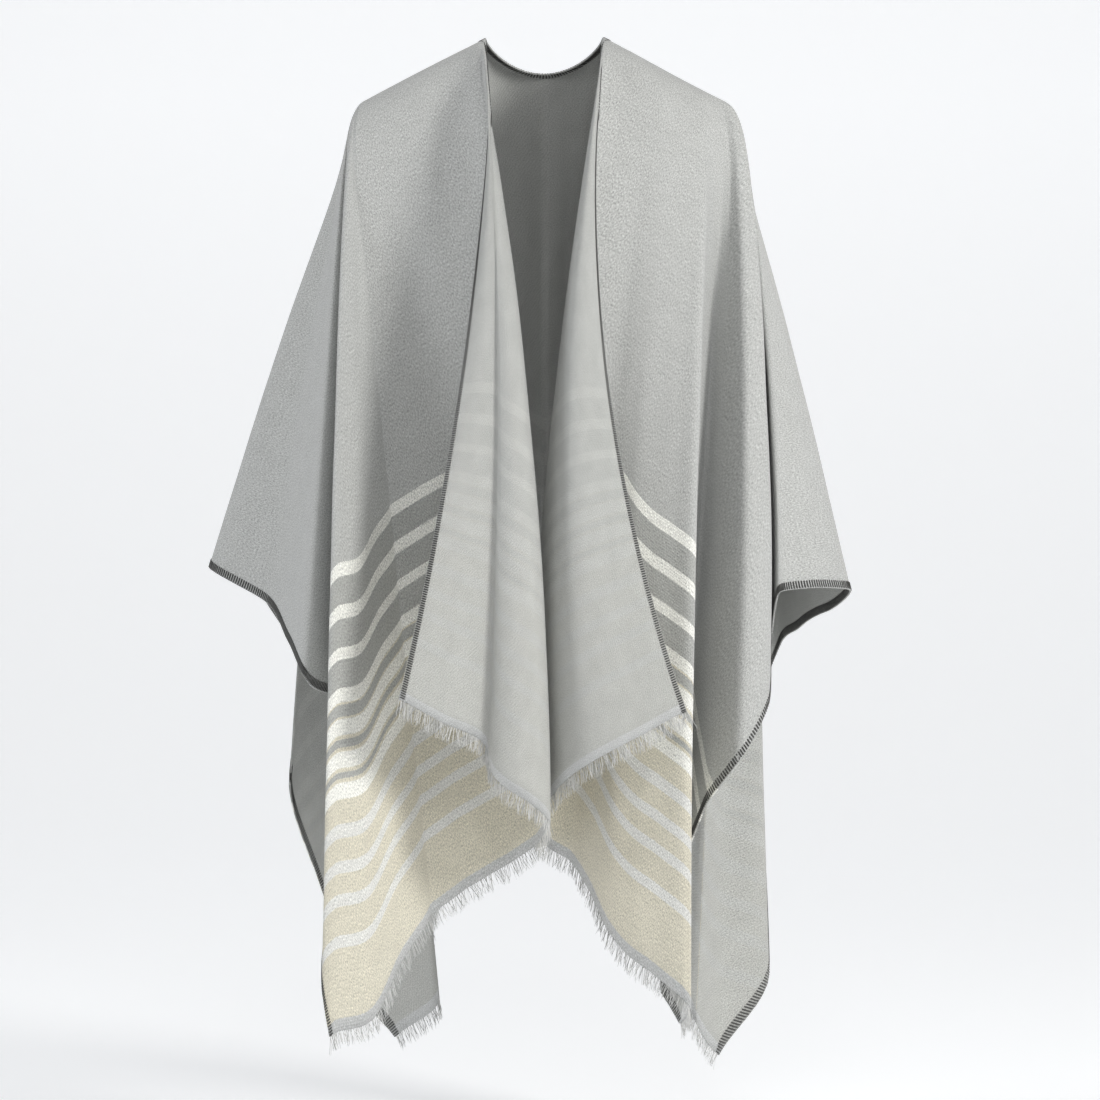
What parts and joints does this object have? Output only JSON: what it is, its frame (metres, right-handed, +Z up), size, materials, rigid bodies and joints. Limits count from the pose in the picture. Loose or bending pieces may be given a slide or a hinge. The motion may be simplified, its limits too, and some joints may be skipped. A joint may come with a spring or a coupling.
{
  "type": "ruana",
  "caption": "Open-front woven ruana hung over two shoulders, slit up the front with lapels folded back, banded hems and an eyelash fringe.",
  "frame": {"origin": "midway between the two shoulder points where the cloth is held up, 3 mm above their level", "axes": "+X towards the right of the picture, which is the wearer's left; +Y to the wearer's back; +Z up"},
  "size_m": [0.617, 0.4801, 0.9962],
  "materials": {
    "woven_cloth": "brushed grey twill, plain light grey inside, off-white and beige bands near both hems outside",
    "fringe_yarn": "loose off-white and light grey warp ends"
  },
  "bodies": {
    "root": {"cloth_back": "woven_cloth", "cloth_front_left": "woven_cloth", "cloth_front_right": "woven_cloth", "fringe_back": "fringe_yarn", "fringe_front_left": "fringe_yarn", "fringe_front_right": "fringe_yarn"}
  },
  "joints": []
}
